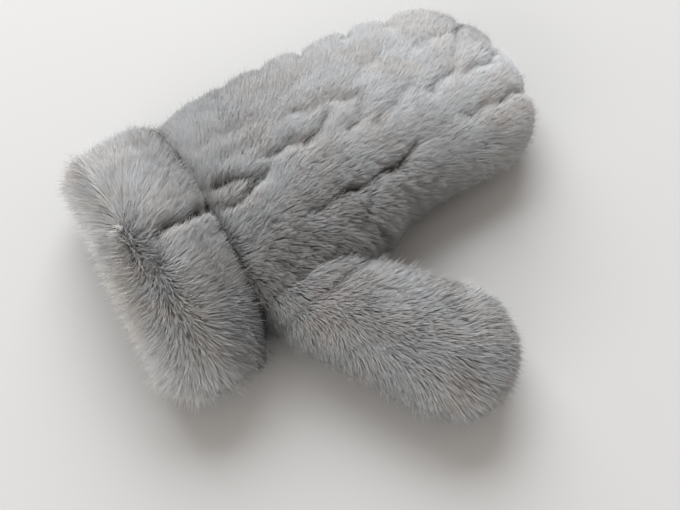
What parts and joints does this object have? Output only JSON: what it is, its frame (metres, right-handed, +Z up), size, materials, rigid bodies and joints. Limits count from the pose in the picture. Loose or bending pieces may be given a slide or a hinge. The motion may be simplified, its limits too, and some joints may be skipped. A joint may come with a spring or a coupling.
{
  "type": "mitten",
  "caption": "Deep-pile plush mitten lying palm down, with one pouch for the fingers, a thumb spread to the side and a fluffy cuff open at the wrist",
  "frame": {"origin": "middle of the footprint, on the surface that the mitten lies on", "axes": "+X from the cuff's mouth to the fingertips, +Y across the hand away from the thumb, +Z up out of the back of the hand"},
  "size_m": [0.2584, 0.2428, 0.0559],
  "materials": {
    "plush": "deep soft pile, light blue-grey, darker in the partings"
  },
  "bodies": {
    "root": {"hand_back": "plush", "hand_palm": "plush", "thumb_back": "plush", "thumb_palm": "plush", "cuff_back": "plush", "cuff_palm": "plush"}
  },
  "joints": []
}
